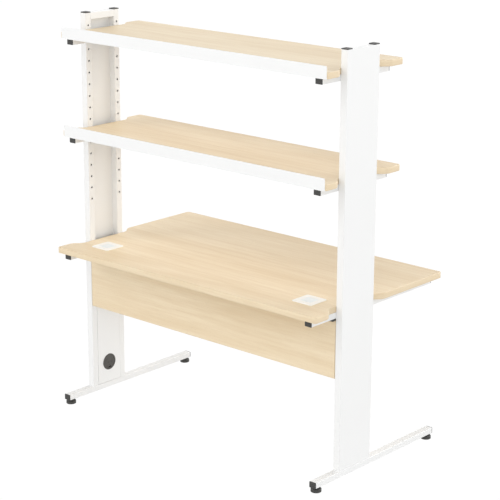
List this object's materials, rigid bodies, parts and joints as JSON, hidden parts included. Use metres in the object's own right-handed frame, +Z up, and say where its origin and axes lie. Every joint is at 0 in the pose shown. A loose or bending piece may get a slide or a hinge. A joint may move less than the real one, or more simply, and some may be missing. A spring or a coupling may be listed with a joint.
{
  "type": "computer desk",
  "caption": "Free-standing workstation desk: white steel end frames with cable columns carry a maple desktop, a modesty panel and height-adjustable shelves with back lips.",
  "frame": {"origin": "on the floor, under the middle of the desk's box", "axes": "+Z up, -Y to the seated user (front), +Y to the back, -X to the user's left"},
  "size_m": [1.442, 0.813, 1.714],
  "materials": {
    "maple_board": "satin laminate with a fine straight grain",
    "white_steel": "semi-matt powder coat",
    "black_plastic": "moulded matt",
    "grommet_plastic": "moulded fine texture",
    "white_plastic": "moulded satin",
    "lid_plastic": "moulded satin",
    "zinc_steel": "bright zinc plate"
  },
  "bodies": {
    "frame": {"left_foot_rail": "white_steel", "left_front_upright": "white_steel", "left_back_upright": "white_steel", "left_top_rail": "white_steel", "left_outer_panel": "white_steel", "left_cable_cover": "white_steel", "left_grommet_ring": "grommet_plastic", "left_desktop_arm": "white_steel", "left_port_frame": "white_plastic", "right_foot_rail": "white_steel", "right_front_upright": "white_steel", "right_back_upright": "white_steel", "right_top_rail": "white_steel", "right_outer_panel": "white_steel", "right_cable_cover": "white_steel", "right_grommet_ring": "grommet_plastic", "right_desktop_arm": "white_steel", "right_port_frame": "white_plastic", "foot_end_caps": "black_plastic", "upright_top_caps": "black_plastic", "desktop_arm_caps": "black_plastic", "glide_inserts": "zinc_steel", "desktop": "maple_board", "desktop_screws": "zinc_steel", "arm_bolts": "zinc_steel", "modesty_panel": "maple_board", "modesty_brackets": "black_plastic", "modesty_screws": "zinc_steel"},
    "left_grommet_cap": {"left_grommet_cap": "grommet_plastic"},
    "left_port_lid": {"left_port_lid": "lid_plastic"},
    "left_front_glide": {"left_front_glide_base": "black_plastic", "left_front_glide_stud": "zinc_steel"},
    "left_back_glide": {"left_back_glide_base": "black_plastic", "left_back_glide_stud": "zinc_steel"},
    "right_grommet_cap": {"right_grommet_cap": "grommet_plastic"},
    "right_port_lid": {"right_port_lid": "lid_plastic"},
    "right_front_glide": {"right_front_glide_base": "black_plastic", "right_front_glide_stud": "zinc_steel"},
    "right_back_glide": {"right_back_glide_base": "black_plastic", "right_back_glide_stud": "zinc_steel"},
    "upper_shelf": {"upper_shelf_board": "maple_board", "upper_shelf_lip": "white_steel", "upper_shelf_left_arm": "white_steel", "upper_shelf_right_arm": "white_steel", "upper_shelf_arm_caps": "black_plastic", "upper_shelf_cleats": "white_steel", "upper_shelf_arm_bolts": "zinc_steel", "upper_shelf_clamp_screws": "zinc_steel", "upper_shelf_screws": "zinc_steel", "upper_lip_screws": "zinc_steel"},
    "lower_shelf": {"lower_shelf_board": "maple_board", "lower_shelf_lip": "white_steel", "lower_shelf_left_arm": "white_steel", "lower_shelf_right_arm": "white_steel", "lower_shelf_arm_caps": "black_plastic", "lower_shelf_cleats": "white_steel", "lower_shelf_arm_bolts": "zinc_steel", "lower_shelf_clamp_screws": "zinc_steel", "lower_shelf_screws": "zinc_steel", "lower_lip_screws": "zinc_steel"}
  },
  "joints": [
    {"name": "left_grommet_turn", "type": "hinge", "parent": "frame", "child": "left_grommet_cap", "pos_m": [-0.6835, 0.14625, 0.139], "axis": [1, 0, 0], "continuous": true},
    {"name": "left_port_lid_hinge", "type": "hinge", "parent": "frame", "child": "left_port_lid", "pos_m": [-0.562, 0.2327, 0.7231], "axis": [1, 0, 0], "range_deg": [0, 95]},
    {"name": "left_front_glide_screw", "type": "slide", "parent": "frame", "child": "left_front_glide", "axis": [0, 0, 1], "range_m": [-0.012, 0.005]},
    {"name": "left_back_glide_screw", "type": "slide", "parent": "frame", "child": "left_back_glide", "axis": [0, 0, 1], "range_m": [-0.012, 0.005]},
    {"name": "right_grommet_turn", "type": "hinge", "parent": "frame", "child": "right_grommet_cap", "pos_m": [0.6835, 0.14625, 0.139], "axis": [1, 0, 0], "continuous": true},
    {"name": "right_port_lid_hinge", "type": "hinge", "parent": "frame", "child": "right_port_lid", "pos_m": [0.562, 0.2327, 0.7231], "axis": [1, 0, 0], "range_deg": [0, 95]},
    {"name": "right_front_glide_screw", "type": "slide", "parent": "frame", "child": "right_front_glide", "axis": [0, 0, 1], "range_m": [-0.012, 0.005]},
    {"name": "right_back_glide_screw", "type": "slide", "parent": "frame", "child": "right_back_glide", "axis": [0, 0, 1], "range_m": [-0.012, 0.005]},
    {"name": "upper_shelf_height", "type": "slide", "parent": "frame", "child": "upper_shelf", "axis": [0, 0, 1], "range_m": [-0.15, 0.04]},
    {"name": "lower_shelf_height", "type": "slide", "parent": "frame", "child": "lower_shelf", "axis": [0, 0, 1], "range_m": [-0.25, 0.1]}
  ]
}
